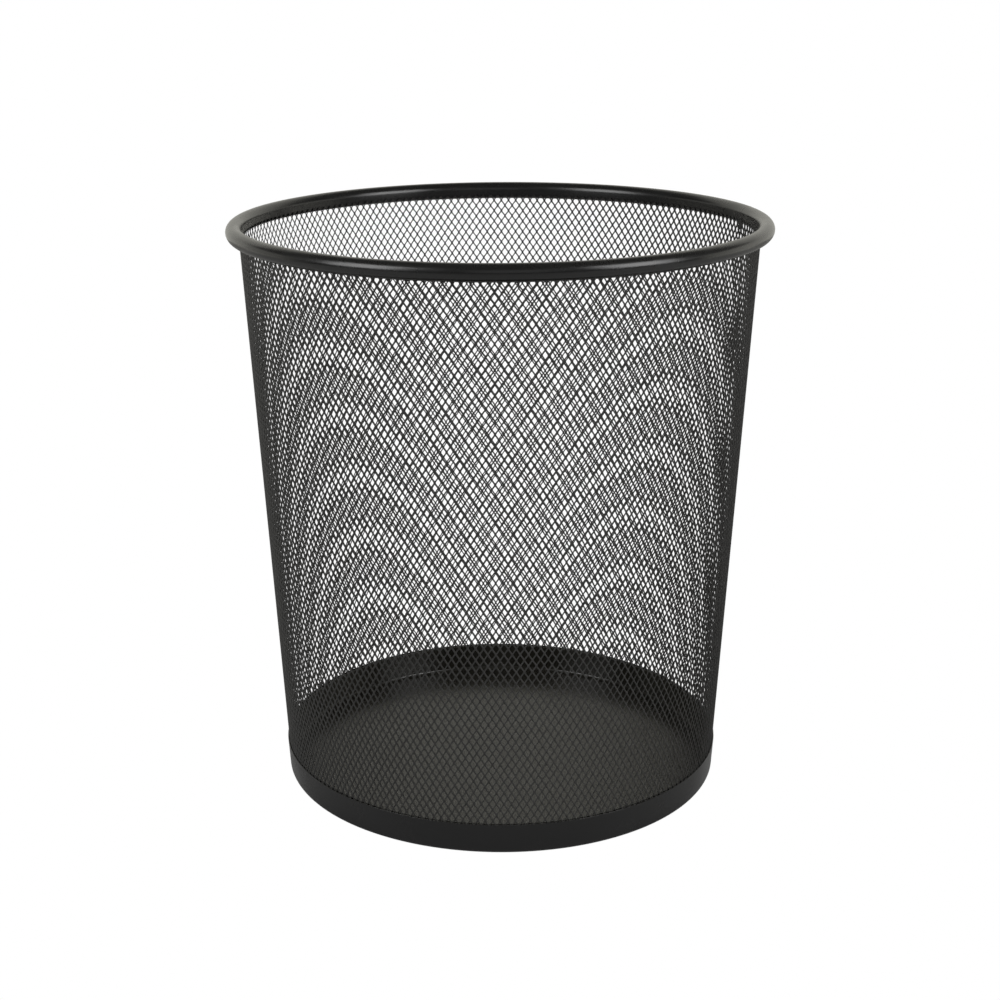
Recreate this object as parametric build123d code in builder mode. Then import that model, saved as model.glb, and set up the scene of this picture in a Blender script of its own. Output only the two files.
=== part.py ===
"""Round steel-mesh wastebasket: a tapered mesh wall between a rolled tube rim and a pressed base.

The origin is on the floor under the basket's axis, with +Z up. Sizes are in millimetres.
Everything is a body of revolution, so each piece is one section in the XZ plane turned about Z.
"""

import os
from math import sqrt

from build123d import *

# Overall sizes
overall_height = 285.5  # floor to the top of the rim
rim_outer_diameter = 265.0  # outside of the rolled rim
base_diameter = 223.5  # outside of the base band, carried down to the floor

# Rolled rim, bent from one strip
rim_tube_diameter = 7.8
rim_sheet = 0.6
rim_inner_lip_length = 2.6  # below the tube's centre, against the mesh's inner face
rim_outer_lip_length = 1.6  # below the tube, against the mesh's outer face
rim_outer_lip_bend = 0.4  # where the tube turns down into that lip

# Mesh wall
mesh_thickness = 1.0  # over the raised strands
mesh_edge_gap = 0.3  # from the wall's lower edge to the bend of the band under it

# Base band, the hoop outside the mesh with its edge turned in under the floor
band_height = 15.5
band_sheet = 0.5
band_bend_radius = 2.0  # outside of the bend
band_lip_width = 7.0  # of the turned-in edge, which the basket stands on

# Base pan, the floor with its upright flange inside the mesh
pan_flange_height = 15.3  # above the floor that the basket stands on
pan_sheet = 0.6
pan_bend_radius = 2.0  # inside of the bend

# Fit
grip_clearance = 0.1  # between the mesh and the sheet that grips it, each side

# Places that follow from the sizes
rim_tube_radius = rim_tube_diameter / 2
rim_centre_radius = rim_outer_diameter / 2 - rim_tube_radius
rim_centre_height = overall_height - rim_tube_radius
rim_bore_radius = rim_tube_radius - rim_sheet
mesh_top_radius = rim_centre_radius - rim_bore_radius + grip_clearance + mesh_thickness
mesh_base_radius = base_diameter / 2 - band_sheet - grip_clearance
wall_slope = (mesh_top_radius - mesh_base_radius) / rim_centre_height
mesh_bottom_height = band_bend_radius + mesh_edge_gap
inner_grip_offset = -mesh_thickness - grip_clearance


def mesh_radius(height):
    """Radius of the mesh's outer face at a height."""
    return mesh_base_radius + wall_slope * height


def cone_strip(inner_offset, thickness, low, high, mode=Mode.ADD):
    """Section of a thin cone parallel to the mesh's outer face, for the sketch in progress."""
    outer_offset = inner_offset + thickness
    Polygon(
        (mesh_radius(low) + inner_offset, low),
        (mesh_radius(low) + outer_offset, low),
        (mesh_radius(high) + outer_offset, high),
        (mesh_radius(high) + inner_offset, high),
        align=None,
        mode=mode,
    )


# Rim: a tube that is open along its lower inner side, where it takes the top of the mesh.
# One edge of the strip runs straight down inside the mesh, the other is a short lip outside it.
outer_lip_reach = rim_centre_radius - mesh_radius(rim_centre_height - rim_tube_radius)
tube_bottom_at_lip = rim_centre_height - sqrt(rim_tube_radius**2 - outer_lip_reach**2)
outer_lip_face = mesh_radius(tube_bottom_at_lip) + grip_clearance + rim_sheet
slot_width = mesh_thickness + 2 * grip_clearance

with BuildPart() as rim_tube:
    with BuildSketch(Plane.XZ) as rim_section:
        with Locations((rim_centre_radius, rim_centre_height)):
            Circle(rim_tube_radius)
            Circle(rim_bore_radius, mode=Mode.SUBTRACT)
        cone_strip(
            inner_grip_offset,
            slot_width,
            rim_centre_height - rim_tube_diameter,
            rim_centre_height,
            mode=Mode.SUBTRACT,
        )
        cone_strip(
            inner_grip_offset - rim_sheet,
            rim_sheet,
            rim_centre_height - rim_inner_lip_length,
            rim_centre_height,
        )
        cone_strip(
            grip_clearance,
            rim_sheet,
            tube_bottom_at_lip - rim_outer_lip_length,
            tube_bottom_at_lip,
        )
        lip_corner = rim_section.vertices().sort_by_distance((outer_lip_face, tube_bottom_at_lip))[0]
        fillet(lip_corner, rim_outer_lip_bend)
    revolve(axis=Axis.Z)
rim_tube.part.label = "rim_tube"

# Mesh wall: the sheet of expanded steel, as a plain cone over the depth of its strands.
with BuildPart() as mesh_wall:
    with BuildSketch(Plane.XZ) as wall_section:
        cone_strip(-mesh_thickness, mesh_thickness, mesh_bottom_height, rim_centre_height)
    revolve(axis=Axis.Z)
mesh_wall.part.label = "mesh_wall"

# Base band: upright hoop, round bend and flat edge turned in under the pan.
band_outer_radius = mesh_base_radius + grip_clearance + band_sheet
band_inner_radius = mesh_base_radius + grip_clearance

with BuildPart() as base_band:
    with BuildSketch(Plane.XZ) as band_section:
        cone_strip(grip_clearance, band_sheet, 0, band_height)
        with Locations((band_outer_radius, 0)):
            Rectangle(band_lip_width, band_sheet, align=(Align.MAX, Align.MIN))
        inner_corner = band_section.vertices().sort_by_distance((band_inner_radius, band_sheet))[0]
        fillet(inner_corner, band_bend_radius - band_sheet)
        outer_corner = band_section.vertices().sort_by_distance((band_outer_radius, 0))[0]
        fillet(outer_corner, band_bend_radius)
    revolve(axis=Axis.Z)
base_band.part.label = "base_band"

# Base pan: flat floor that lies on the band's turned-in edge, and a flange inside the mesh.
pan_underside = band_sheet
pan_floor_height = pan_underside + pan_sheet
pan_outer_radius = mesh_radius(pan_underside) + inner_grip_offset
pan_inner_radius = pan_outer_radius - pan_sheet

with BuildPart() as base_pan:
    with BuildSketch(Plane.XZ) as pan_section:
        cone_strip(inner_grip_offset - pan_sheet, pan_sheet, pan_underside, pan_flange_height)
        with Locations((0, pan_underside)):
            Rectangle(pan_outer_radius, pan_sheet, align=(Align.MIN, Align.MIN))
        inner_corner = pan_section.vertices().sort_by_distance((pan_inner_radius, pan_floor_height))[0]
        fillet(inner_corner, pan_bend_radius)
        outer_corner = pan_section.vertices().sort_by_distance((pan_outer_radius, pan_underside))[0]
        fillet(outer_corner, pan_bend_radius + pan_sheet)
    revolve(axis=Axis.Z)
base_pan.part.label = "base_pan"

os.makedirs("parts", exist_ok=True)
export_step(rim_tube.part, "parts/rim_tube.step")
export_step(mesh_wall.part, "parts/mesh_wall.step")
export_step(base_band.part, "parts/base_band.step")
export_step(base_pan.part, "parts/base_pan.step")
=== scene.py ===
"""Round mesh wastebasket: expanded-steel wall, bent sheet pieces, their paint, and the studio.

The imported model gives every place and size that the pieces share. Lengths in this file are metres.
"""

from math import asin, pi, sqrt

import bmesh
import bpy
import numpy as np
from mathutils import Matrix, Vector, noise


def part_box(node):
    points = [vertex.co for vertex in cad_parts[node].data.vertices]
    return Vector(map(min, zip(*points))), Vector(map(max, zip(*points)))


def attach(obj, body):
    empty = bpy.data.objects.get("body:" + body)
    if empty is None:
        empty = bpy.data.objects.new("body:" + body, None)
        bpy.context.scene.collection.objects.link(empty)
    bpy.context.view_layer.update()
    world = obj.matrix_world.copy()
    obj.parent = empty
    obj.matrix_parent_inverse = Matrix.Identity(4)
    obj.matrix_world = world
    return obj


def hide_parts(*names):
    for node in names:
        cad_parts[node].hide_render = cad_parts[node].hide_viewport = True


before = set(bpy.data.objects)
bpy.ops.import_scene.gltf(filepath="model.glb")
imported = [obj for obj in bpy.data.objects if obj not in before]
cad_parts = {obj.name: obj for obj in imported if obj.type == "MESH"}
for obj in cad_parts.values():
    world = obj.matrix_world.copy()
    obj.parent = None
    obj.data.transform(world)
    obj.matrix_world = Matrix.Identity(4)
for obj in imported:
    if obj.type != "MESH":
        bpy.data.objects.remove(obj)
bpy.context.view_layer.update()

bl_info = {
    "name": "Mesh Wastebasket",
    "version": (1, 0, 0),
    "blender": (4, 5, 0),
    "location": "View3D > Sidebar > Basket",
    "description": "Expanded-steel wall, powder coat and studio for a round wastebasket",
    "category": "Add Mesh",
}

MM = 0.001
BODY = "root"


# ---------------------------------------------------------------- what the imported model says

def cone_of(node_name):
    """The lowest and highest height of a turned node, and its outer and inner radius at both."""
    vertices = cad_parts[node_name].data.vertices
    points = np.array([v.co for v in vertices], float)
    radius = np.hypot(points[:, 0], points[:, 1])
    low, high = points[:, 2].min(), points[:, 2].max()
    near = 0.01 * MM
    at_low, at_high = radius[points[:, 2] < low + near], radius[points[:, 2] > high - near]
    return {
        "low": low,
        "high": high,
        "outer": (at_low.max(), at_high.max()),
        "inner": (at_low.min(), at_high.min()),
    }


WALL = cone_of("mesh_wall")
WALL_DEPTH = WALL["outer"][0] - WALL["inner"][0]
BAND_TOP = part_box("base_band")[1].z
RIM_LOW, RIM_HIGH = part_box("rim_tube")
PAN_LOW, PAN_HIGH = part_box("base_pan")


def wall_radius(height):
    """Radius of the wall's outer face, for one height or an array of them."""
    share = (height - WALL["low"]) / (WALL["high"] - WALL["low"])
    return WALL["outer"][0] + share * (WALL["outer"][1] - WALL["outer"][0])


# ---------------------------------------------------------------- settings

class BasketMesh(bpy.types.PropertyGroup):
    """The expanded steel of the wall."""

    columns: bpy.props.FloatProperty(
        name="Columns", description="Diamonds in one turn of the wall",
        default=197.4, min=60, max=400)
    overlap: bpy.props.IntProperty(
        name="Overlap", description="Diamonds by which the sheet overlaps itself at the seam",
        default=2, min=1, max=6)
    strand_length: bpy.props.FloatProperty(
        name="Strand Length", description="From one bond to the next, along the strand",
        default=3.50 * MM, subtype="DISTANCE", unit="LENGTH")
    strand_width: bpy.props.FloatProperty(
        name="Strand Width", description="Across a strand, in the sheet",
        default=0.62 * MM, subtype="DISTANCE", unit="LENGTH")
    bond_width: bpy.props.FloatProperty(
        name="Bond Width", description="Across the bond where four strands meet",
        default=1.08 * MM, subtype="DISTANCE", unit="LENGTH")
    bond_length: bpy.props.FloatProperty(
        name="Bond Length", description="Upright edge of the opening beside a bond",
        default=0.70 * MM, subtype="DISTANCE", unit="LENGTH")
    sheet_thickness: bpy.props.FloatProperty(
        name="Sheet Thickness", description="Through one strand, with its paint",
        default=0.48 * MM, subtype="DISTANCE", unit="LENGTH")
    tilt: bpy.props.FloatProperty(
        name="Tilt", description="How far one side of a strand stands out past its other side",
        default=0.22 * MM, subtype="DISTANCE", unit="LENGTH")
    crown: bpy.props.FloatProperty(
        name="Crown", description="How far a strand's middle stands above its edges",
        default=0.07 * MM, subtype="DISTANCE", unit="LENGTH")
    wander: bpy.props.FloatProperty(
        name="Wander", description="How far a bond sits from its exact place",
        default=0.05 * MM, subtype="DISTANCE", unit="LENGTH")
    seam_angle: bpy.props.FloatProperty(
        name="Seam Angle", description="Where the lap seam stands, from +X towards +Y",
        default=0.24, subtype="ANGLE", unit="ROTATION")


class BasketSheet(bpy.types.PropertyGroup):
    """The plain sheet of the rim, the band and the floor pan."""

    grip: bpy.props.FloatProperty(
        name="Grip", description="Room between the mesh and the sheet that holds it",
        default=0.1 * MM, subtype="DISTANCE", unit="LENGTH")
    edge_round: bpy.props.FloatProperty(
        name="Edge Round", description="Rounding that the paint leaves on a cut edge",
        default=0.12 * MM, subtype="DISTANCE", unit="LENGTH")
    tube_diameter: bpy.props.FloatProperty(
        name="Tube Diameter", description="Of the rolled rim",
        default=7.8 * MM, subtype="DISTANCE", unit="LENGTH")
    rim_sheet: bpy.props.FloatProperty(
        name="Rim Sheet", description="Thickness of the rim's strip",
        default=0.6 * MM, subtype="DISTANCE", unit="LENGTH")
    rim_inner_lip: bpy.props.FloatProperty(
        name="Rim Inner Lip", description="Below the tube's centre, inside the mesh",
        default=2.6 * MM, subtype="DISTANCE", unit="LENGTH")
    rim_lip_bend: bpy.props.FloatProperty(
        name="Rim Lip Bend", description="Rounding where the tube turns down into its outer lip",
        default=0.4 * MM, subtype="DISTANCE", unit="LENGTH")
    band_sheet: bpy.props.FloatProperty(
        name="Band Sheet", description="Thickness of the band",
        default=0.5 * MM, subtype="DISTANCE", unit="LENGTH")
    band_bend: bpy.props.FloatProperty(
        name="Band Bend", description="Outside radius of the band's lower bend",
        default=2.0 * MM, subtype="DISTANCE", unit="LENGTH")
    band_lip: bpy.props.FloatProperty(
        name="Band Lip", description="Width of the edge turned in under the floor",
        default=7.0 * MM, subtype="DISTANCE", unit="LENGTH")
    pan_sheet: bpy.props.FloatProperty(
        name="Pan Sheet", description="Thickness of the floor pan",
        default=0.6 * MM, subtype="DISTANCE", unit="LENGTH")
    pan_bend: bpy.props.FloatProperty(
        name="Pan Bend", description="Inside radius of the pan's bend",
        default=2.0 * MM, subtype="DISTANCE", unit="LENGTH")
    pan_waves: bpy.props.FloatProperty(
        name="Pan Waves", description="Height of the waves left in the pressed floor",
        default=0.10 * MM, subtype="DISTANCE", unit="LENGTH")
    weld_height: bpy.props.FloatProperty(
        name="Weld Height", description="Of the flattened bead where a strip's ends meet",
        default=0.07 * MM, subtype="DISTANCE", unit="LENGTH")


class BasketPaint(bpy.types.PropertyGroup):
    """The black powder coat: one paint on every part, set lighter on the mesh as painted light and
    darker on the rim, band and floor pan as painted shade.
    """

    # Rim colour: the black coat set darker than on the mesh, painted shade.
    rim_color: bpy.props.FloatVectorProperty(
        name="Rim", description="Powder coat of the rim",
        default=(0.006, 0.006, 0.0058), subtype="COLOR", size=3)
    # Mesh colour: the black coat set lighter, standing in for the light its strands catch; painted
    # light.
    mesh_lit_color: bpy.props.FloatVectorProperty(
        name="Mesh", description="Powder coat of the mesh",
        default=(0.034, 0.0335, 0.032), subtype="COLOR", size=3)
    # Band colour: the black coat set darker than on the mesh, painted shade.
    band_shaded_color: bpy.props.FloatVectorProperty(
        name="Band", description="Powder coat of the base band",
        default=(0.004, 0.0039, 0.0039), subtype="COLOR", size=3)
    # Pan colour: the black coat set darker, so the pan's upright flange reads as in shade; painted
    # shade.
    pan_shaded_color: bpy.props.FloatVectorProperty(
        name="Pan", description="Powder coat of the floor",
        default=(0.016, 0.0150, 0.0112), subtype="COLOR", size=3)
    # Dust colour: partly real dust, partly painted light, since it lightens every face that looks
    # up, most of all the pan's floor.
    dust_and_top_light_color: bpy.props.FloatVectorProperty(
        name="Dust", description="Fine dust on faces that look up",
        default=(0.20, 0.19, 0.17), subtype="COLOR", size=3)


class BasketStudio(bpy.types.PropertyGroup):
    """Floor, lights and camera."""

    floor_color: bpy.props.FloatVectorProperty(
        name="Floor", description="Floor and backdrop",
        default=(1.0, 1.0, 1.0), subtype="COLOR", size=3)
    camera_distance: bpy.props.FloatProperty(
        name="Camera Distance", description="From the basket's axis",
        default=0.8579, subtype="DISTANCE", unit="LENGTH")
    camera_height: bpy.props.FloatProperty(
        name="Camera Height", description="Above the floor",
        default=0.4141, subtype="DISTANCE", unit="LENGTH")
    camera_pitch: bpy.props.FloatProperty(
        name="Camera Pitch", description="How far the camera looks down",
        default=0.3082, subtype="ANGLE", unit="ROTATION")
    camera_yaw: bpy.props.FloatProperty(
        name="Camera Yaw", description="How far the camera turns right",
        default=-0.0240, subtype="ANGLE", unit="ROTATION")
    camera_roll: bpy.props.FloatProperty(
        name="Camera Roll", description="Turn about the line of sight",
        default=-0.0095, subtype="ANGLE", unit="ROTATION")
    lens: bpy.props.FloatProperty(
        name="Lens", description="Focal length for a sensor 36 mm wide, in millimetres",
        default=63.36)
    shift: bpy.props.FloatProperty(
        name="Shift", description="Sideways shift of the lens, in frame widths",
        default=0.0405)


# ---------------------------------------------------------------- shader nodes

def new_node(tree, kind, **inputs):
    """A node of that kind, with some of its sockets set by name."""
    node = tree.nodes.new(kind)
    for name, value in inputs.items():
        node.inputs[name.replace("_", " ")].default_value = value
    return node


def feed(tree, socket, operand):
    """Gives a socket its value, which is another socket or a number."""
    if isinstance(operand, bpy.types.NodeSocket):
        tree.links.new(operand, socket)
    else:
        socket.default_value = operand


def math_node(tree, operation, first, second):
    """A math node; each operand is a socket or a number."""
    node = tree.nodes.new("ShaderNodeMath")
    node.operation = operation
    feed(tree, node.inputs[0], first)
    feed(tree, node.inputs[1], second)
    return node.outputs[0]


def mix_colors(tree, factor, first, second):
    """A colour mix; factor and both colours are sockets."""
    node = tree.nodes.new("ShaderNodeMix")
    node.data_type = "RGBA"
    from_color, to_color = (socket for socket in node.inputs if socket.type == "RGBA")
    tree.links.new(factor, node.inputs["Factor"])
    tree.links.new(first, from_color)
    tree.links.new(second, to_color)
    return next(socket for socket in node.outputs if socket.type == "RGBA")


def mix_shaders(tree, factor, first, second):
    """A shader mix; factor and both shaders are sockets."""
    node = tree.nodes.new("ShaderNodeMixShader")
    tree.links.new(factor, node.inputs["Fac"])
    tree.links.new(first, node.inputs[1])
    tree.links.new(second, node.inputs[2])
    return node.outputs[0]


def map_range(tree, value, span, to_low, to_high):
    """A value carried from a span of numbers to another one, whose ends are sockets or numbers."""
    node = new_node(tree, "ShaderNodeMapRange", From_Min=span[0], From_Max=span[1])
    tree.links.new(value, node.inputs["Value"])
    feed(tree, node.inputs["To Min"], to_low)
    feed(tree, node.inputs["To Max"], to_high)
    return node.outputs["Result"]


# Noise scales, in waves to the metre, and the part of the noise's range that is used
CLOUD_SCALE, CLOUD_SPAN = 42.0, (0.3, 0.7)
SPECK_SCALE, SPECK_SPAN = 1900.0, (0.46, 0.72)
SPECK_FLOOR = 0.25  # dust between the specks, as a share of the dust in them
DUST_AND_LIGHT_FACING = (0.25, 1.0)  # upward part of the face's direction, where dust and painted light begin and are full
DUST_DULLING = 0.6  # added to the roughness under full dust


def powder_coat_group():
    """Baked powder coat: orange peel, cloudy gloss and a little dust on faces that look up, which
    also paints light on them.
    """
    group = bpy.data.node_groups.new("powder_coat_surface", "ShaderNodeTree")
    sockets = (
        ("Paint Color", "INPUT", "NodeSocketColor"),
        ("Dust And Top Light Color", "INPUT", "NodeSocketColor"),
        ("Dust", "INPUT", "NodeSocketFloat"),
        ("Cloud", "INPUT", "NodeSocketFloat"),
        ("Gloss Roughness", "INPUT", "NodeSocketFloat"),
        ("Dull Roughness", "INPUT", "NodeSocketFloat"),
        ("Peel Scale", "INPUT", "NodeSocketFloat"),
        ("Color", "OUTPUT", "NodeSocketColor"),
        ("Roughness", "OUTPUT", "NodeSocketFloat"),
        ("Height", "OUTPUT", "NodeSocketFloat"),
    )
    for name, direction, kind in sockets:
        group.interface.new_socket(name=name, in_out=direction, socket_type=kind)
    given = group.nodes.new("NodeGroupInput").outputs
    result = group.nodes.new("NodeGroupOutput").inputs
    place = group.nodes.new("ShaderNodeTexCoord").outputs["Object"]

    cloud = new_node(group, "ShaderNodeTexNoise", Scale=CLOUD_SCALE, Detail=4.0, Roughness=0.6)
    speck = new_node(group, "ShaderNodeTexNoise", Scale=SPECK_SCALE, Detail=2.0, Roughness=0.7)
    peel = new_node(group, "ShaderNodeTexNoise", Detail=2.0, Roughness=0.45)
    group.links.new(given["Peel Scale"], peel.inputs["Scale"])
    for texture in (cloud, speck, peel):
        group.links.new(place, texture.inputs["Vector"])

    # Cloudy shade of the paint, darker and lighter by the Cloud value
    swing = math_node(group, "SUBTRACT", cloud.outputs["Fac"], 0.5)
    swing = math_node(group, "MULTIPLY", swing, given["Cloud"])
    level = math_node(group, "ADD", swing, 1.0)
    shaded = group.nodes.new("ShaderNodeVectorMath")
    shaded.operation = "SCALE"
    group.links.new(given["Paint Color"], shaded.inputs[0])
    group.links.new(level, shaded.inputs["Scale"])

    # Dust settles where the face looks up, in fine specks; the same lighter colour is also painted
    # light on upward faces, which lifts the pan's floor against its flange
    normal = group.nodes.new("ShaderNodeNewGeometry").outputs["Normal"]
    direction = group.nodes.new("ShaderNodeSeparateXYZ")
    group.links.new(normal, direction.inputs[0])
    up_facing_dust_and_light = map_range(group, direction.outputs["Z"], DUST_AND_LIGHT_FACING, 0.0, given["Dust"])
    specks = map_range(group, speck.outputs["Fac"], SPECK_SPAN, SPECK_FLOOR, 1.0)
    dust_and_top_light = math_node(group, "MULTIPLY", up_facing_dust_and_light, specks)
    color = mix_colors(group, dust_and_top_light, shaded.outputs[0], given["Dust And Top Light Color"])

    gloss = map_range(
        group, cloud.outputs["Fac"], CLOUD_SPAN, given["Gloss Roughness"], given["Dull Roughness"])
    dulling = math_node(group, "MULTIPLY", dust_and_top_light, DUST_DULLING)
    group.links.new(color, result["Color"])
    group.links.new(math_node(group, "ADD", gloss, dulling), result["Roughness"])
    group.links.new(peel.outputs["Fac"], result["Height"])
    return group


def powder_coat(
        name, color, dust_and_top_light_color, dust, cloud, gloss, dull, peel_scale, peel_depth, shine=0.5):
    """A painted-steel material with its own values for the shared powder-coat surface."""
    material = bpy.data.materials.new(name)
    material.use_nodes = True
    tree = material.node_tree
    shader = tree.nodes["Principled BSDF"]
    shader.inputs["IOR"].default_value = 1.5
    shader.inputs["Specular IOR Level"].default_value = shine
    surface = tree.nodes.new("ShaderNodeGroup")
    surface.node_tree = bpy.data.node_groups.get("powder_coat_surface") or powder_coat_group()
    values = {
        "Paint Color": (*color, 1.0),
        "Dust And Top Light Color": (*dust_and_top_light_color, 1.0),
        "Dust": dust,
        "Cloud": cloud,
        "Gloss Roughness": gloss,
        "Dull Roughness": dull,
        "Peel Scale": peel_scale,
    }
    for socket, value in values.items():
        surface.inputs[socket].default_value = value
    bump = new_node(tree, "ShaderNodeBump", Strength=1.0, Distance=peel_depth)
    tree.links.new(surface.outputs["Height"], bump.inputs["Height"])
    tree.links.new(bump.outputs["Normal"], shader.inputs["Normal"])
    tree.links.new(surface.outputs["Color"], shader.inputs["Base Color"])
    tree.links.new(surface.outputs["Roughness"], shader.inputs["Roughness"])
    return material


# ---------------------------------------------------------------- making and fitting pieces

def add_object(name, data):
    """An object for a mesh, a light or a camera, in the scene."""
    made = bpy.data.objects.new(name, data)
    bpy.context.collection.objects.link(made)
    return made


def fit_piece(piece, coat, node_name):
    """Paints a piece and puts it in the place of its CAD node."""
    piece.data.materials.append(coat)
    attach(piece, BODY)
    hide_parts(node_name)


# ---------------------------------------------------------------- the expanded-steel wall

SECTORS = 6  # upright strips that the wall is made in, so that no single mesh gets too heavy
WANDER_SEED = 7
TIP_BLUNTNESS = 0.20  # half the flat at an opening's tip, in strand widths
TIP_TRIES = 30

# Lap seam: the sheet's far end lifts off its first end, and is held down again by the band
# below and by the rim above
SEAM_LEAD = 1.2  # diamonds before a full turn where it begins to lift; one more and it is clear
SEAM_STAND_OFF = 0.75  # in depths of the wall
BAND_HOLD = 3 * MM  # heights over which it comes down to the other layer
RIM_HOLD = 5 * MM


def bond_rows(sheet):
    """Heights of the rows of bonds.

    Strands keep their length, so the diamonds get lower as the cone widens.
    """
    rows = [WALL["low"]]
    while rows[-1] < WALL["high"]:
        half_width = pi * wall_radius(rows[-1]) / sheet.columns
        rows.append(rows[-1] + sqrt(sheet.strand_length**2 - half_width**2))
    rows = np.array(rows)
    # Drawn together a little, so that the last row lies on the wall's upper edge
    span = WALL["high"] - WALL["low"]
    return WALL["low"] + (rows - WALL["low"]) * span / (rows[-1] - WALL["low"])


def opening_corners(sheet, half_width, half_height):
    """Corners of one opening about its middle, from the right side round over the top."""
    side = half_width - sheet.bond_width / 2
    sill = sheet.bond_length / 2
    blunt = TIP_BLUNTNESS * sheet.strand_width
    low, high = sill, half_height
    for _ in range(TIP_TRIES):  # halving in on the tip that leaves strands of the stated width
        tip = (low + high) / 2
        rise, run = tip - sill, side - blunt
        gap = rise * (half_width - 2 * blunt) + run * (half_height - 2 * tip)
        if gap / sqrt(rise**2 + run**2) > sheet.strand_width:
            low = tip
        else:
            high = tip
    quarter = [(side, sill), (blunt, tip)]
    upper = quarter + [(-x, y) for x, y in reversed(quarter)]
    return np.array(upper + [(-x, -y) for x, y in upper])


def seam_lift(sheet, column, height):
    """How far the sheet's far end stands off where it lies over its first end."""
    over = np.clip(column - sheet.columns + SEAM_LEAD, 0, 1)
    above_band = np.clip((height - BAND_TOP + BAND_HOLD) / BAND_HOLD, 0, 1)
    below_rim = np.clip((RIM_LOW.z - height) / RIM_HOLD, 0, 1)
    return over * above_band * below_rim * SEAM_STAND_OFF * WALL_DEPTH


def place_on_wall(sheet, column, height, depth):
    """Points of the wall: column counts diamonds round it, depth goes in from the outer face."""
    angle = sheet.seam_angle + 2 * pi * column / sheet.columns
    radius = wall_radius(height) - depth + seam_lift(sheet, column, height)
    return np.stack([radius * np.cos(angle), radius * np.sin(angle), height], axis=-1)


def lattice(sheet, rows, first, last, total):
    """The bonds and openings of one sector, each point as a column and a height.

    Gives the bonds' places, the four bonds of each cell (right, top, left, bottom) and the
    corners of each cell's opening.
    """
    numbers, places = {}, []
    random = np.random.default_rng(WANDER_SEED)
    wander = random.normal(0, 1, (len(rows), total + 2, 2)) * sheet.wander

    def bond(row, half_columns):
        """Number of the bond at that row and half column, made when first asked for."""
        key = (row, half_columns)
        if key not in numbers:
            numbers[key] = len(places)
            width = 2 * pi * wall_radius(rows[row]) / sheet.columns
            shift = wander[row, half_columns // 2]
            inside = 0 < row < len(rows) - 1
            places.append((half_columns / 2 + shift[0] / width, rows[row] + shift[1] * inside))
        return numbers[key]

    cells, openings = [], []
    for row in range(1, len(rows) - 1):
        half_width = pi * wall_radius(rows[row]) / sheet.columns
        half_height = (rows[row + 1] - rows[row - 1]) / 2
        corners = opening_corners(sheet, half_width, half_height)
        odd = row % 2
        start = 2 * first + (0 if odd else 1)
        if odd and first == 0:  # leaves out the cell that would reach past the sheet's first edge
            start += 2
        for half_columns in range(start, 2 * last, 2):
            cell = (
                bond(row, half_columns + 1), bond(row + 1, half_columns),
                bond(row, half_columns - 1), bond(row - 1, half_columns))
            cells.append(cell)
            middle = np.mean([places[number] for number in cell], axis=0)
            openings.append(np.column_stack([
                middle[0] + corners[:, 0] / (2 * half_width), middle[1] + corners[:, 1]]))
    return np.array(places), np.array(cells), np.array(openings)


def wall_sector(name, sheet, rows, first, last, total):
    """One upright strip of the wall, a closed mesh from column first to column last."""
    bonds, cells, openings = lattice(sheet, rows, first, last, total)
    n_bonds, n_cells, n_corners = len(bonds), len(cells), openings.shape[1]
    edge = openings.reshape(-1, 2)
    # Stretching tilts the strands: one side edge of an opening stands out, the other is set in
    outward = opening_corners(sheet, 1, 1)[:, 0] > 0
    lean = np.tile(np.where(outward, 0.0, sheet.tilt), n_cells)
    middle, through = sheet.tilt / 2, sheet.sheet_thickness
    points = np.concatenate([
        place_on_wall(sheet, bonds[:, 0], bonds[:, 1], middle),
        place_on_wall(sheet, bonds[:, 0], bonds[:, 1], middle + through),
        place_on_wall(sheet, edge[:, 0], edge[:, 1], lean + sheet.crown),
        place_on_wall(sheet, edge[:, 0], edge[:, 1], lean + through - sheet.crown),
    ])
    front = 2 * n_bonds + n_corners * np.arange(n_cells)
    back = front + n_corners * n_cells

    # Each of a cell's four bonds has two corners of the opening beside it
    quads, triangles = [], []
    for i in range(4):
        here, there = cells[:, i], cells[:, (i + 1) % 4]
        a, b, before = 2 * i, 2 * i + 1, (2 * i - 1) % n_corners
        quads.append(np.stack([here, there, front + b, front + a], 1))
        quads.append(np.stack([here + n_bonds, back + a, back + b, there + n_bonds], 1))
        quads.append(np.stack([front + a, front + b, back + b, back + a], 1))
        quads.append(np.stack([front + before, front + a, back + a, back + before], 1))
        triangles.append(np.stack([here, front + a, front + before], 1))
        triangles.append(np.stack([here + n_bonds, back + before, back + a], 1))

    # Close the sector along its outline, where an edge from bond to bond has one cell only
    edges = np.concatenate([np.stack([cells[:, i], cells[:, (i + 1) % 4]], 1) for i in range(4)])
    _, where, count = np.unique(
        np.sort(edges, 1), axis=0, return_index=True, return_counts=True)
    start, end = edges[where[count == 1]].T
    quads.append(np.stack([end, start, start + n_bonds, end + n_bonds], 1))

    mesh = bpy.data.meshes.new(name)
    faces = np.concatenate(quads).tolist() + np.concatenate(triangles).tolist()
    mesh.from_pydata(points.tolist(), [], faces)
    mesh.shade_smooth()
    mesh.validate()
    return add_object(name, mesh)


# ---------------------------------------------------------------- pieces turned from sheet

# Directions in a section, in turns from +X towards +Z
OUT, DOWN, IN = 0.0, -0.25, 0.5

TURN_STEPS = 360
ANGLE_DECIMALS = 6
SAME_POINT = 0.001 * MM
SHARP_ANGLE = 0.6  # edges that bend more than this stay sharp, in radians
CUT_STEPS = 5
TUBE_START = 0.5 * MM  # out from the outer lip's face, where the tube's curve begins

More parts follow.
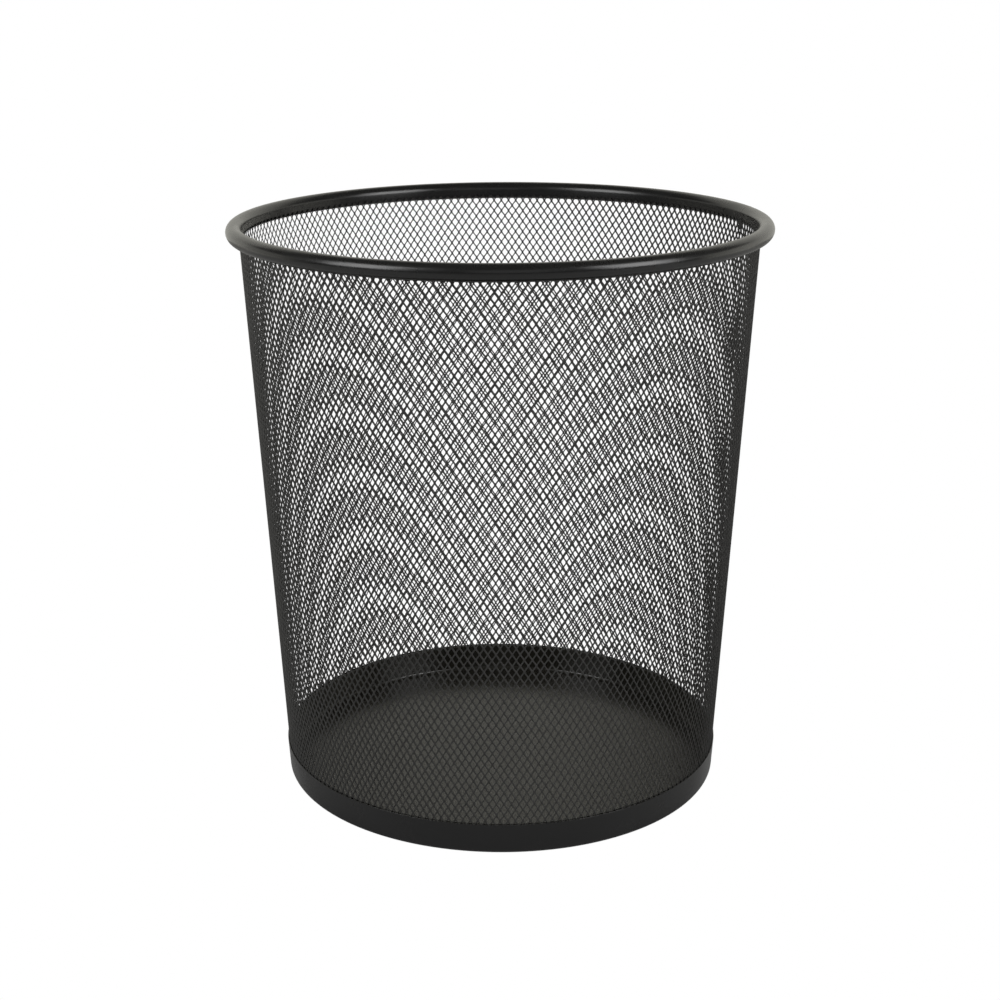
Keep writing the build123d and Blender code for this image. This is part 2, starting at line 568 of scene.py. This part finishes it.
# The bead where a strip's ends meet, ground down: a low crown between two shallow grooves
BEAD_STEPS = 21
BEAD_REACH = 2 * MM  # to each side of the seam
CROWN_WIDTH = 0.5  # this and the next two are millimetres along the strip
GROOVE_PLACE = 1.2
GROOVE_WIDTH = 0.35
GROOVE_DEPTH = 0.6  # in crown heights

# Waves in the pressed floor
WAVE_SCALE = 22.0  # in waves to the metre
WAVE_MIDDLE = 0.5  # lifts the waves, so that nearly all of them stand above the flat floor
WAVE_EDGE = 6 * MM  # in from the pan's outside, where the waves begin
WAVE_FADE = 20 * MM  # over which they reach their height


def arc(centre, radius, start, end, steps):
    """Points of an arc in a section, from one direction to another."""
    angle = 2 * pi * np.linspace(start, end, steps)
    return np.column_stack([
        centre[0] + radius * np.cos(angle), centre[1] + radius * np.sin(angle)])


def rounded(corner, before, after, reach):
    """Points that cut a corner short by the reach on both sides, in a curve."""
    corner, before, after = (np.array(p, float) for p in (corner, before, after))
    start = corner + (before - corner) * reach / np.linalg.norm(before - corner)
    end = corner + (after - corner) * reach / np.linalg.norm(after - corner)
    share = np.linspace(0, 1, CUT_STEPS)[:, None]
    return (1 - share) ** 2 * start + 2 * share * (1 - share) * corner + share**2 * end


def turned(name, section, centre, weld_height, seam_angle):
    """A section turned about Z, with a weld bead where the strip's ends meet.

    The section has its metal on the left; the bead swells it away from the centre that is given.
    """
    section, centre = np.array(section), np.array(centre)
    outside = section[:, 0].max()
    reach = np.linalg.norm(section - centre, axis=1).max()
    beside_seam = BEAD_REACH * np.linspace(-1, 1, BEAD_STEPS) / outside
    angles = np.concatenate([
        np.linspace(0, 2 * pi, TURN_STEPS, endpoint=False),
        (seam_angle + beside_seam) % (2 * pi),
    ])
    angles = np.unique(angles.round(ANGLE_DECIMALS))
    off_seam = ((angles - seam_angle + pi) % (2 * pi) - pi) * outside / MM
    crown = np.exp(-(off_seam / CROWN_WIDTH) ** 2)
    groove = np.exp(-((abs(off_seam) - GROOVE_PLACE) / GROOVE_WIDTH) ** 2)
    swell = 1 + (crown - GROOVE_DEPTH * groove) * weld_height / reach
    radius = centre[0] + (section[:, 0] - centre[0]) * swell[:, None]
    height = centre[1] + (section[:, 1] - centre[1]) * swell[:, None]
    turn_x, turn_y = np.cos(angles)[:, None], np.sin(angles)[:, None]
    points = np.stack([radius * turn_x, radius * turn_y, height], axis=-1).reshape(-1, 3)
    index = np.arange(len(points)).reshape(len(angles), len(section))
    across, along = np.roll(index, -1, 0), np.roll(index, -1, 1)
    quads = np.stack([index, across, np.roll(across, -1, 1), along], axis=-1).reshape(-1, 4)
    mesh = bpy.data.meshes.new(name)
    mesh.from_pydata(points.tolist(), [], quads.tolist())
    closed = bmesh.new()
    closed.from_mesh(mesh)
    bmesh.ops.remove_doubles(closed, verts=closed.verts, dist=SAME_POINT)
    closed.to_mesh(mesh)
    closed.free()
    mesh.shade_smooth()
    mesh.set_sharp_from_angle(angle=SHARP_ANGLE)
    return add_object(name, mesh)


def rim_section(sheet):
    """The rim's strip: from the outer lip round the tube to the lip inside the mesh."""
    tube = sheet.tube_diameter / 2
    bore = tube - sheet.rim_sheet
    edge = sheet.edge_round
    centre = (RIM_HIGH.x - tube, RIM_HIGH.z - tube)

    # Outer lip, down along the mesh's outer face
    foot = RIM_LOW.z
    slant = wall_radius(foot) - wall_radius(centre[1] - tube)
    lip_inner = wall_radius(centre[1] - tube) + sheet.grip
    lip_outer = lip_inner + sheet.rim_sheet
    at_lip, in_bore = centre[0] - lip_outer, centre[0] - lip_inner
    corner = (lip_outer, centre[1] - sqrt(tube**2 - at_lip**2))
    outer_foot, inner_foot = (lip_outer + slant, foot), (lip_inner + slant, foot)

    # Inner lip, down inside the mesh
    lip_low = centre[1] - sheet.rim_inner_lip
    inward = wall_radius(lip_low) - wall_radius(centre[1])
    open_face = (centre[0] - tube + inward, lip_low)
    mesh_face = (centre[0] - bore + inward, lip_low)

    start = DOWN - asin((at_lip - TUBE_START) / tube) / (2 * pi)
    end = DOWN - asin(in_bore / bore) / (2 * pi)
    outside = arc(centre, tube, start, IN, steps=72)
    return np.concatenate([
        rounded(outer_foot, inner_foot, corner, edge),
        rounded(corner, outer_foot, outside[0], sheet.rim_lip_bend),
        outside,
        rounded(open_face, (centre[0] - tube, centre[1]), mesh_face, edge),
        rounded(mesh_face, open_face, (centre[0] - bore, centre[1]), edge),
        arc(centre, bore, IN, end, steps=36),
        rounded(inner_foot, (lip_inner, centre[1]), outer_foot, edge),
    ]), centre


def band_section(sheet):
    """The band: from the turned-in edge round the bend and up outside the mesh."""
    thick, bend, edge = sheet.band_sheet, sheet.band_bend, sheet.edge_round
    outer = wall_radius(0) + sheet.grip + thick
    tip = outer - sheet.band_lip
    centre = (outer - bend, bend)
    top_radius = wall_radius(BAND_TOP) + sheet.grip + thick
    top_outer, top_inner = (top_radius, BAND_TOP), (top_radius - thick, BAND_TOP)
    return np.concatenate([
        rounded((tip, 0), (tip, thick), (outer, 0), edge),
        arc(centre, bend, DOWN, OUT, steps=13),
        rounded(top_outer, (outer, bend), top_inner, edge),
        rounded(top_inner, top_outer, (outer - thick, bend), edge),
        arc(centre, bend - thick, OUT, DOWN, steps=9),
        rounded((tip, thick), (outer, thick), (tip, 0), edge),
    ]), centre


def pan_section(sheet):
    """The floor pan: from the middle of its floor round the bend and up inside the mesh."""
    thick, bend, edge = sheet.pan_sheet, sheet.pan_bend, sheet.edge_round
    low, top = PAN_LOW.z, PAN_HIGH.z
    outer = wall_radius(low) - WALL_DEPTH - sheet.grip
    centre = (outer - thick - bend, low + thick + bend)
    top_radius = outer + wall_radius(top) - wall_radius(low)
    top_outer, top_inner = (top_radius, top), (top_radius - thick, top)
    rings = np.linspace(0, centre[0], 28)[:-1]  # close enough together for the waves
    return np.concatenate([
        np.column_stack([rings, np.full(len(rings), low)]),
        arc(centre, bend + thick, DOWN, OUT, steps=13),
        rounded(top_outer, (outer, centre[1]), top_inner, edge),
        rounded(top_inner, top_outer, (outer - thick, centre[1]), edge),
        arc(centre, bend, OUT, DOWN, steps=11),
        np.column_stack([rings[::-1], np.full(len(rings), low + thick)]),
    ]), centre


def press_waves(piece, height):
    """Leaves the shallow waves of thin pressed sheet in a flat floor, fading out at its bend."""
    for vertex in piece.data.vertices:
        radius = sqrt(vertex.co.x**2 + vertex.co.y**2)
        fade = min(1.0, max(0.0, (PAN_HIGH.x - WAVE_EDGE - radius) / WAVE_FADE))
        vertex.co.z += height * fade * (WAVE_MIDDLE + noise.noise(vertex.co * WAVE_SCALE))


# ---------------------------------------------------------------- the studio

FLOOR_HALF = 4.0
FLOOR_DROP = 0.02 * MM  # keeps the floor clear of the basket's underside
FLOOR_BOUNCE = (0.6, 0.6, 0.6, 1.0)  # light that the floor gives back to the basket
AIR_GLOW = 0.08
SENSOR_WIDTH = 36.0  # in millimetres
WARM, PLAIN = (1.0, 0.985, 0.89), (1, 1, 1)
STRAIGHT, UPPER_WALL, MIDDLE = (0, 0, 0.8), (0, 0, 0.25), (0, 0, 0.14)

# Name, width and height, place, the point that it looks at, power in watts, colour
LIGHTS = (
    ("backdrop_glow", (3.4, 1.6), (0, 1.3, 0.8), STRAIGHT, 13.0, WARM),
    ("left_key", (0.6, 0.75), (-0.91, -0.64, 0.73), UPPER_WALL, 8.0, PLAIN),
    ("right_key", (0.6, 0.75), (0.93, -0.62, 0.69), UPPER_WALL, 8.5, PLAIN),
    ("left_edge", (0.8, 0.8), (-1.1, 0.35, 0.20), MIDDLE, 1.2, WARM),
    ("right_edge", (0.8, 0.8), (1.1, 0.30, 0.20), MIDDLE, 1.8, WARM),
    ("front_fill", (0.8, 0.8), (0.1, -1.3, 0.65), MIDDLE, 0.9, PLAIN),
)


def softbox(name, size, place, target, power, color):
    """A rectangular area light that looks at a point and that the camera doesn't see."""
    light = bpy.data.lights.new(name, "AREA")
    light.color = color
    light.shape = "RECTANGLE"
    light.size, light.size_y = size
    light.energy = power
    lamp = add_object(name, light)
    lamp.visible_camera = False
    place, target = Vector(place), Vector(target)
    aim = (target - place).to_track_quat("-Z", "Y").to_matrix().to_4x4()
    lamp.matrix_world = Matrix.Translation(place) @ aim


def camera_only_white(tree, seen, unseen):
    """Joins two shaders: one that the camera sees and one for every other ray."""
    path = tree.nodes.new("ShaderNodeLightPath")
    return mix_shaders(tree, path.outputs["Is Camera Ray"], unseen, seen)


# ---------------------------------------------------------------- operators

class BASKET_OT_wall(bpy.types.Operator):
    """Make the wall of expanded steel, lapped over itself at one seam"""

    bl_idname = "basket.wall"
    bl_label = "Mesh Wall"

    def execute(self, context):
        sheet, colors = context.scene.basket_mesh, context.scene.basket_paint
        # The mesh coat is the lighter copy of the black coat: painted light.
        coat = powder_coat(
            "mesh_coat", colors.mesh_lit_color, colors.dust_and_top_light_color, dust=0.10, cloud=0.5,
            gloss=0.52, dull=0.66, peel_scale=2600.0, peel_depth=0.03 * MM, shine=0.28)
        rows = bond_rows(sheet)
        total = int(sheet.columns) + sheet.overlap
        cuts = [round(total * i / SECTORS) for i in range(SECTORS + 1)]
        for number, (first, last) in enumerate(zip(cuts, cuts[1:]), 1):
            piece = wall_sector(f"mesh_wall_{number}", sheet, rows, first, last, total)
            fit_piece(piece, coat, "mesh_wall")
        return {"FINISHED"}


class BASKET_OT_rim(bpy.types.Operator):
    """Roll and paint the rim"""

    bl_idname = "basket.rim"
    bl_label = "Rim"

    def execute(self, context):
        sheet, colors = context.scene.basket_sheet, context.scene.basket_paint
        seam_angle = context.scene.basket_mesh.seam_angle
        # The rim coat is a darker copy of the black coat: painted shade.
        coat = powder_coat(
            "rim_coat", colors.rim_color, colors.dust_and_top_light_color, dust=0.10, cloud=0.5,
            gloss=0.22, dull=0.30, peel_scale=1500.0, peel_depth=0.02 * MM)
        rim = turned("rim_tube_rolled", *rim_section(sheet), sheet.weld_height, seam_angle)
        fit_piece(rim, coat, "rim_tube")
        return {"FINISHED"}


class BASKET_OT_base(bpy.types.Operator):
    """Bend and paint the base band, press and paint the floor pan"""

    bl_idname = "basket.base"
    bl_label = "Base"

    def execute(self, context):
        sheet, colors = context.scene.basket_sheet, context.scene.basket_paint
        seam_angle = context.scene.basket_mesh.seam_angle
        # The band coat is a darker copy of the black coat: painted shade.
        coat = powder_coat(
            "band_coat", colors.band_shaded_color, colors.dust_and_top_light_color, dust=0.10, cloud=0.5,
            gloss=0.20, dull=0.30, peel_scale=1500.0, peel_depth=0.02 * MM)
        band = turned("base_band_bent", *band_section(sheet), sheet.weld_height, seam_angle)
        fit_piece(band, coat, "base_band")
        # The pan coat is a darker copy of the black coat, painted shade on its upright flange; its
        # stronger dust lightens the floor, partly real dust and partly painted light.
        coat = powder_coat(
            "pan_coat", colors.pan_shaded_color, colors.dust_and_top_light_color, dust=0.12, cloud=0.6,
            gloss=0.18, dull=0.26, peel_scale=1300.0, peel_depth=0.02 * MM)
        no_weld = 0.0
        pan = turned("base_pan_pressed", *pan_section(sheet), no_weld, seam_angle)
        fit_piece(pan, coat, "base_pan")
        press_waves(pan, sheet.pan_waves)
        return {"FINISHED"}


class BASKET_OT_studio(bpy.types.Operator):
    """Set out the floor, the lights and the camera"""

    bl_idname = "basket.studio"
    bl_label = "Studio"

    def execute(self, context):
        studio = context.scene.basket_studio
        self.make_floor(studio)
        self.make_world(context.scene, studio)
        for light in LIGHTS:
            softbox(*light)
        self.make_camera(context.scene, studio)
        return {"FINISHED"}

    def make_floor(self, studio):
        half = FLOOR_HALF
        corners = [(-half, -half, 0), (half, -half, 0), (half, half, 0), (-half, half, 0)]
        mesh = bpy.data.meshes.new("studio_floor")
        mesh.from_pydata(corners, [], [(0, 1, 2, 3)])
        floor = add_object("studio_floor", mesh)
        floor.location.z = -FLOOR_DROP
        material = bpy.data.materials.new("floor_white")
        material.use_nodes = True
        tree = material.node_tree
        tree.nodes.clear()
        output = tree.nodes.new("ShaderNodeOutputMaterial")
        seen = new_node(
            tree, "ShaderNodeEmission", Color=(*studio.floor_color, 1.0), Strength=1.0)
        unseen = new_node(tree, "ShaderNodeBsdfDiffuse", Color=FLOOR_BOUNCE)
        white = camera_only_white(tree, seen.outputs[0], unseen.outputs[0])
        # From under the floor it is clear, so that the basket's underside can be looked at
        below = tree.nodes.new("ShaderNodeNewGeometry").outputs["Backfacing"]
        clear = tree.nodes.new("ShaderNodeBsdfTransparent").outputs[0]
        tree.links.new(mix_shaders(tree, below, white, clear), output.inputs["Surface"])
        mesh.materials.append(material)

    def make_world(self, scene, studio):
        scene.world = bpy.data.worlds.new("studio_air")
        scene.world.use_nodes = True
        tree = scene.world.node_tree
        tree.nodes.clear()
        output = tree.nodes.new("ShaderNodeOutputWorld")
        seen = new_node(
            tree, "ShaderNodeBackground", Color=(*studio.floor_color, 1.0), Strength=1.0)
        unseen = new_node(
            tree, "ShaderNodeBackground", Color=(1.0, 1.0, 1.0, 1.0), Strength=AIR_GLOW)
        white = camera_only_white(tree, seen.outputs[0], unseen.outputs[0])
        tree.links.new(white, output.inputs["Surface"])

    def make_camera(self, scene, studio):
        yaw = Matrix.Rotation(-studio.camera_yaw, 4, "Z")
        tilt = Matrix.Rotation(pi / 2 - studio.camera_pitch, 4, "X")
        roll = Matrix.Rotation(studio.camera_roll, 4, "Z")
        data = bpy.data.cameras.new("studio_camera")
        data.lens, data.sensor_width, data.shift_x = studio.lens, SENSOR_WIDTH, studio.shift
        camera = add_object("studio_camera", data)
        place = Matrix.Translation((0, -studio.camera_distance, studio.camera_height))
        camera.matrix_world = place @ yaw @ tilt @ roll
        scene.camera = camera
        scene.view_settings.view_transform = "Standard"


class BASKET_PT_panel(bpy.types.Panel):
    """Sizes, colours and steps of the basket"""

    bl_idname = "BASKET_PT_panel"
    bl_label = "Mesh Wastebasket"
    bl_space_type = "VIEW_3D"
    bl_region_type = "UI"
    bl_category = "Basket"

    def draw(self, context):
        scene, layout = context.scene, self.layout
        for group in (getattr(scene, name) for name in GROUPS):
            box = layout.box()
            for name in group.bl_rna.properties.keys():
                if name not in ("rna_type", "name"):
                    box.prop(group, name)
        for step in STEPS:
            layout.operator(step.bl_idname)


GROUPS = {
    "basket_mesh": BasketMesh,
    "basket_sheet": BasketSheet,
    "basket_paint": BasketPaint,
    "basket_studio": BasketStudio,
}
STEPS = (BASKET_OT_wall, BASKET_OT_rim, BASKET_OT_base, BASKET_OT_studio)
CLASSES = (*GROUPS.values(), *STEPS, BASKET_PT_panel)


def register():
    for cls in CLASSES:
        bpy.utils.register_class(cls)
    for name, group in GROUPS.items():
        setattr(bpy.types.Scene, name, bpy.props.PointerProperty(type=group))


def unregister():
    for name in GROUPS:
        delattr(bpy.types.Scene, name)
    for cls in reversed(CLASSES):
        bpy.utils.unregister_class(cls)


def main():
    register()
    bpy.ops.basket.wall()
    bpy.ops.basket.rim()
    bpy.ops.basket.base()
    bpy.ops.basket.studio()


if __name__ == "__main__":
    main()
